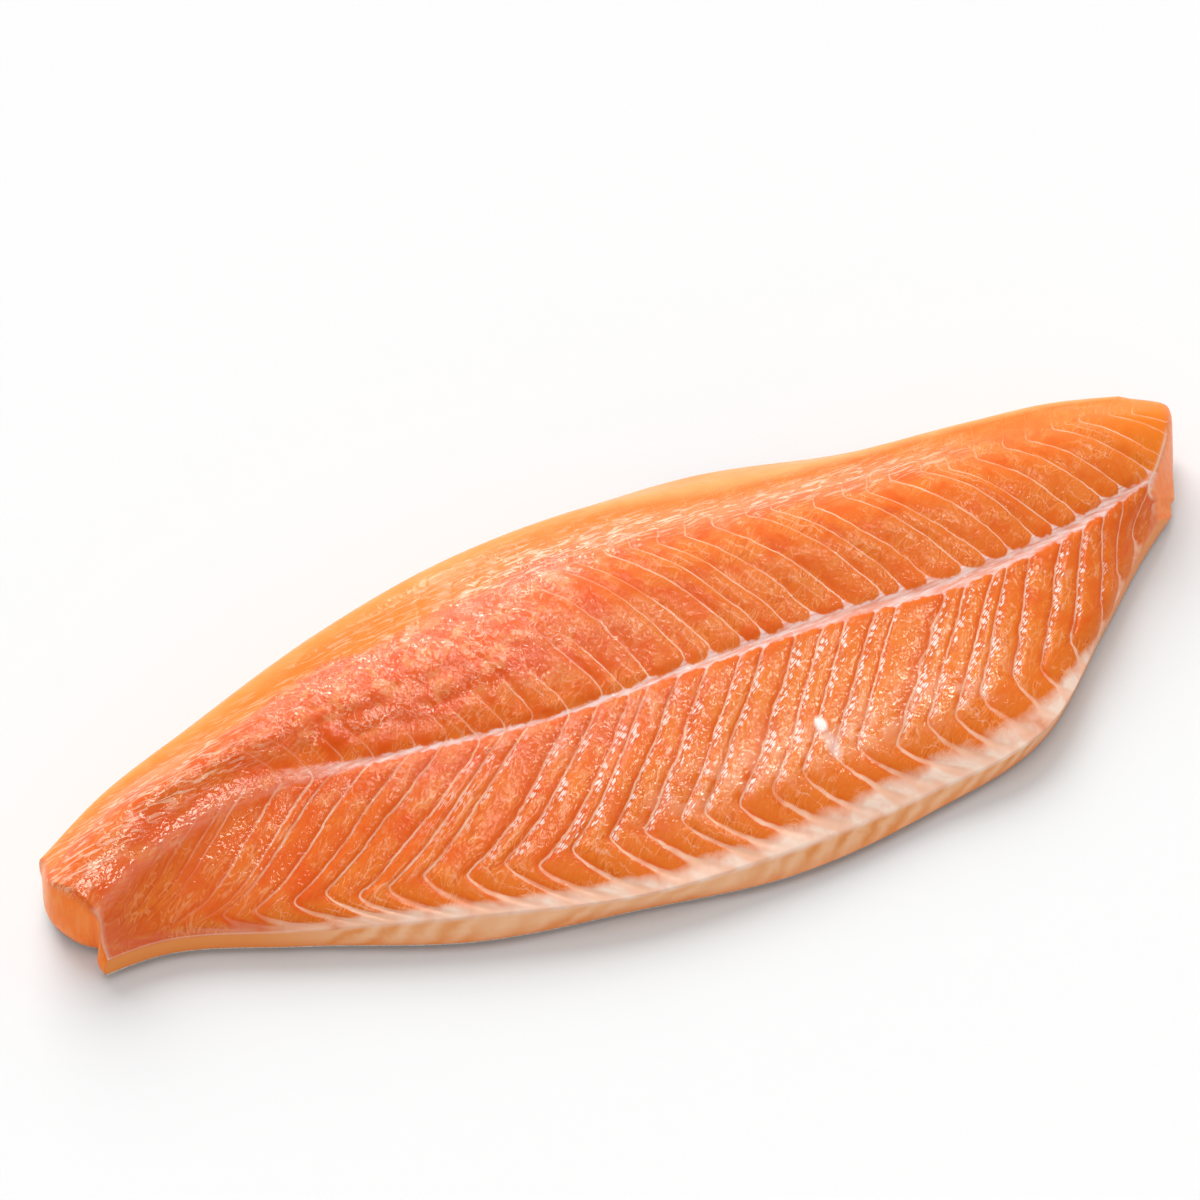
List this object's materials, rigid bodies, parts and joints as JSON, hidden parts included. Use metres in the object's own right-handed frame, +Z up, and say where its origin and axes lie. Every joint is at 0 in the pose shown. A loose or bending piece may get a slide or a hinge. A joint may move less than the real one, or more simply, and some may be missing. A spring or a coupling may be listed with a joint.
{
  "type": "raw lake trout fillet",
  "caption": "Raw trout fillet lying on its skin, with orange flesh whose muscle blocks fold in chevrons between thin pale sheets on each side of a pale seam.",
  "frame": {"origin": "under the middle of the fillet's box, on the surface that it lies on", "axes": "+X along the fish towards the head end, +Y across it towards the back edge, +Z up from the surface that the skin lies on"},
  "size_m": [0.3424, 0.1298, 0.0306],
  "materials": {
    "flesh": "wet raw flesh, orange with pale sheets of fat",
    "skin": "wet scaly skin, dark at the back and silvery below"
  },
  "bodies": {
    "root": {"flesh": "flesh", "skin": "skin"}
  },
  "joints": []
}
